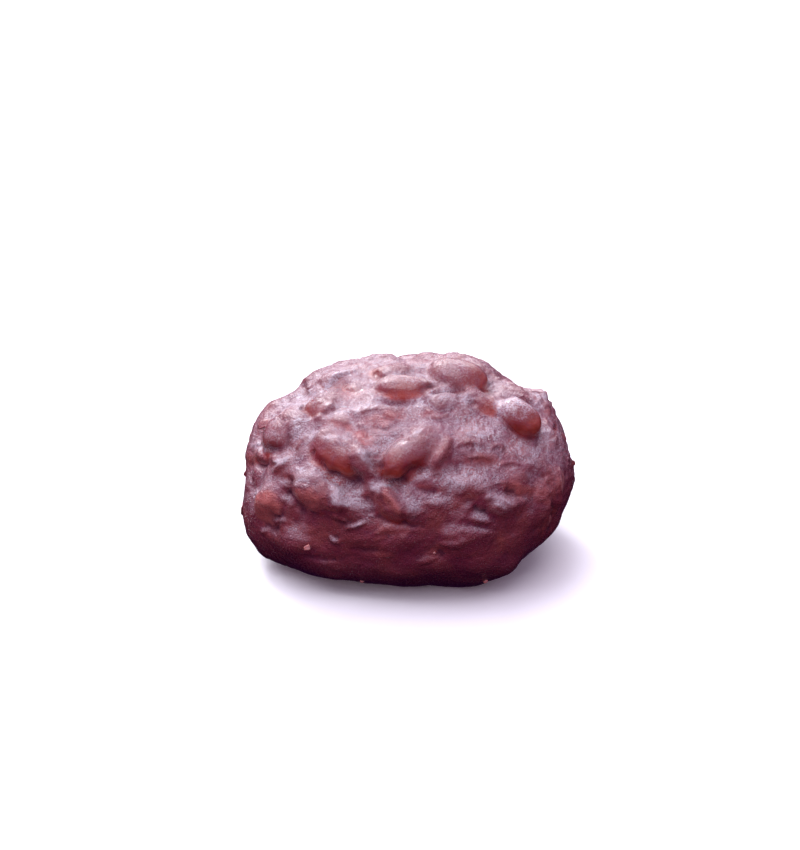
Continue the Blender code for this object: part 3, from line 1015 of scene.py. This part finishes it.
thin = Finish("bean_skin")
where = thin.node("ShaderNodeTexCoord").outputs["Object"]
tone_value = thin.stored("tone")
mottle = thin.cloud(where, 500, 4, 0.6)
specks = thin.cloud(where, 3000, 2)
FLAKE_RED = (0.240, 0.036, 0.026, 1)
FLAKE_PALE = (0.420, 0.300, 0.330, 1)
hue = thin.blend(thin.span(tone_value, 0.0, 1.2), FLAKE_RED, FLAKE_PALE)
grains = thin.node("ShaderNodeBump", {"Height": specks, "Distance": 0.18 * MM, "Strength": 1.0})
thin.give({
    "Base Color": thin.blend(thin.span(mottle, 0.42, 0.62, 0, 0.5), hue, PASTE_BROWN),
    "Roughness": thin.span(specks, 0.35, 0.7, 0.40, 0.22),
    "Normal": grains.outputs["Normal"],
    "Subsurface Weight": 0.2,
    "Subsurface Radius": RED_SCATTER,
    "Subsurface Scale": 0.6 * MM,
    "Coat Weight": 0.6,
    "Coat Roughness": 0.16,
    "Coat Normal": grains.outputs["Normal"],
})
bean_skins.data.materials.append(thin.material)
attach(bean_skins, "root")

# ---------------------------------------------------------------------------
# The crumbs. Where the mash was pressed, pale bits of the beans' insides broke off it, and they
# stick to the outside of the coat, half sunk in its syrup.
# ---------------------------------------------------------------------------
# Azimuth and latitude in degrees, then how long in mm.
CRUMBS = [
    (-43.5, -12.7, 1.3),
    (-24, -33, 0.8),
    (38, -30, 0.9),
    (12, -12, 0.6),
    (74, -20, 0.8),
    (120, 6, 1.0),
    (158, 34, 0.8),
    (-150, 12, 1.1),
    (-118, 28, 0.8),
    (-172, -14, 0.9),
]
bpy.ops.mesh.primitive_ico_sphere_add(subdivisions=3, radius=0.5)
first_crumb = bpy.context.object
ball = points_of(first_crumb)
crumbs = []
for number, (azimuth, latitude, length) in enumerate(CRUMBS):
    way = direction(azimuth, latitude)
    centre, out = met(finished_skin, way)
    along = Matrix.Rotation(number * 1.9, 3, out) @ UP.cross(out).normalized()
    own_axes = Matrix((along, out.cross(along) * 0.8, out * 0.6)).transposed().to_4x4()
    half_sunk = Matrix.Translation(centre + out * 0.12 * length * MM)
    crumb = copy_of(first_crumb)
    uneven = 1 + 0.55 * lumps(ball, 0.34, number) + 0.25 * lumps(ball, 0.16, number)
    put_points(crumb, ball * uneven[:, None])
    crumb.data.transform(half_sunk @ own_axes @ Matrix.Scale(length * MM, 4))
    crumbs.append(crumb)
bpy.data.objects.remove(first_crumb)
bean_crumbs = join_up(crumbs)
bean_crumbs.name = "bean_crumbs"
bean_crumbs.data.name = "bean_crumbs"
bpy.ops.object.shade_smooth()

mash = Finish("bean_crumb")
where = mash.node("ShaderNodeTexCoord").outputs["Object"]
grit = mash.cloud(where, 1800, 3, 0.6)
CRUMB_RED = (0.420, 0.120, 0.110, 1)
CRUMB_PALE = (0.560, 0.300, 0.300, 1)
mash.give({
    "Base Color": mash.blend(grit, CRUMB_RED, CRUMB_PALE),
    "Roughness": 0.4,
    "Subsurface Weight": 0.3,
    "Subsurface Radius": RED_SCATTER,
    "Subsurface Scale": 0.4 * MM,
})
bean_crumbs.data.materials.append(mash.material)
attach(bean_crumbs, "root")

# ---------------------------------------------------------------------------
# The floor, the light and the camera. The sweet stands on a pale board in a pale room, under soft
# boxes such as a studio has, and the camera looks down at it from in front.
# ---------------------------------------------------------------------------
FLOOR_SIDE = 1.6
ROOM_RADIUS = 2.9
bpy.ops.mesh.primitive_plane_add(size=FLOOR_SIDE, location=(0, 0, 0))
floor = bpy.context.object
floor.name = "floor"
board = Finish("pale_floor")
board.give({"Base Color": (0.86, 0.85, 0.86, 1), "Roughness": 0.7})
floor.data.materials.append(board.material)
floor.visible_diffuse = False
floor.visible_glossy = False

# A pale room far round it, only to be seen: it neither lights the coat nor shades it.
bpy.ops.mesh.primitive_uv_sphere_add(segments=48, ring_count=24, radius=ROOM_RADIUS)
room = bpy.context.object
room.name = "room"
paint = Finish("pale_room")
PALE_GLOW = (0.93, 0.92, 0.94, 1)
paint.give({"Base Color": (0, 0, 0, 1), "Emission Color": PALE_GLOW, "Emission Strength": 1.0})
paint.material.cycles.emission_sampling = "NONE"
room.data.materials.append(paint.material)
room.visible_diffuse = False
room.visible_glossy = False
room.visible_shadow = False
room.visible_transmission = False

# The air round it lights it lilac from above, rosy from the side and hardly at all from below.
world = bpy.data.worlds.new("studio")
world.use_nodes = True
nodes = world.node_tree.nodes
links = world.node_tree.links
sky = nodes.new("ShaderNodeTexCoord")
parts = nodes.new("ShaderNodeSeparateXYZ")
upness = nodes.new("ShaderNodeMapRange")
upness.inputs["From Min"].default_value = -1.0
tint = nodes.new("ShaderNodeValToRGB")
tint.color_ramp.elements[0].position = 0.35
tint.color_ramp.elements[0].color = (0.014, 0.001, 0.018, 1)
tint.color_ramp.elements[1].position = 0.75
tint.color_ramp.elements[1].color = (0.500, 0.430, 0.620, 1)
tint.color_ramp.elements.new(0.47).color = (0.560, 0.150, 0.270, 1)
links.new(sky.outputs["Generated"], parts.inputs[0])
links.new(parts.outputs["Z"], upness.inputs["Value"])
links.new(upness.outputs["Result"], tint.inputs[0])
links.new(tint.outputs["Color"], nodes["Background"].inputs["Color"])
bpy.context.scene.world = world

LIT_POINT = Vector((0, 0, 0.02))


def soft_light(name, place, width, depth, watts, colour):
    """A soft box at that place, turned toward the sweet, with its sizes in metres."""
    data = bpy.data.lights.new(name, "AREA")
    data.shape = "RECTANGLE"
    data.size = width
    data.size_y = depth
    data.energy = watts
    data.color = colour
    light = bpy.data.objects.new(name, data)
    light.location = place
    light.rotation_mode = "QUATERNION"
    light.rotation_quaternion = (LIT_POINT - Vector(place)).to_track_quat("-Z", "Y")
    bpy.context.scene.collection.objects.link(light)
    return light


soft_light("back_box", (-0.15, 0.85, 0.40), 1.2, 0.6, 7.6, (0.94, 0.95, 1))
soft_light("top_box", (-0.20, 0.05, 0.85), 0.8, 0.5, 4.7, (0.87, 0.90, 1))
fill_box = soft_light("fill_box", (-0.20, -0.15, 0.85), 1.2, 1.0, 7.8, (0.94, 0.92, 1))
fill_box.visible_glossy = False
front_box = soft_light("front_box", (-0.15, -0.85, 0.40), 0.8, 0.5, 1.5, (1, 0.88, 0.95))
front_box.visible_glossy = False
soft_light("window", (-0.36, 0.56, 0.66), 0.24, 0.16, 4.2, (0.92, 0.95, 1))

TILT = math.radians(27.2)  # how far down the camera looks
DISTANCE = 0.7
FOCAL_LENGTH = 155  # mm
AIM_LEFT = 1.4 * MM
AIM_UP = 8.5 * MM  # in the picture
up_in_view = Vector((0, math.sin(TILT), math.cos(TILT)))
aim = MIDDLE + Vector((-AIM_LEFT, 0, 0)) + up_in_view * AIM_UP
lens = bpy.data.cameras.new("camera")
lens.lens = FOCAL_LENGTH
camera = bpy.data.objects.new("camera", lens)
camera.location = aim + Vector((0, -math.cos(TILT), math.sin(TILT))) * DISTANCE
camera.rotation_mode = "QUATERNION"
camera.rotation_quaternion = (aim - camera.location).to_track_quat("-Z", "Y")
bpy.context.scene.collection.objects.link(camera)
bpy.context.scene.camera = camera
bpy.context.scene.view_settings.view_transform = "Standard"
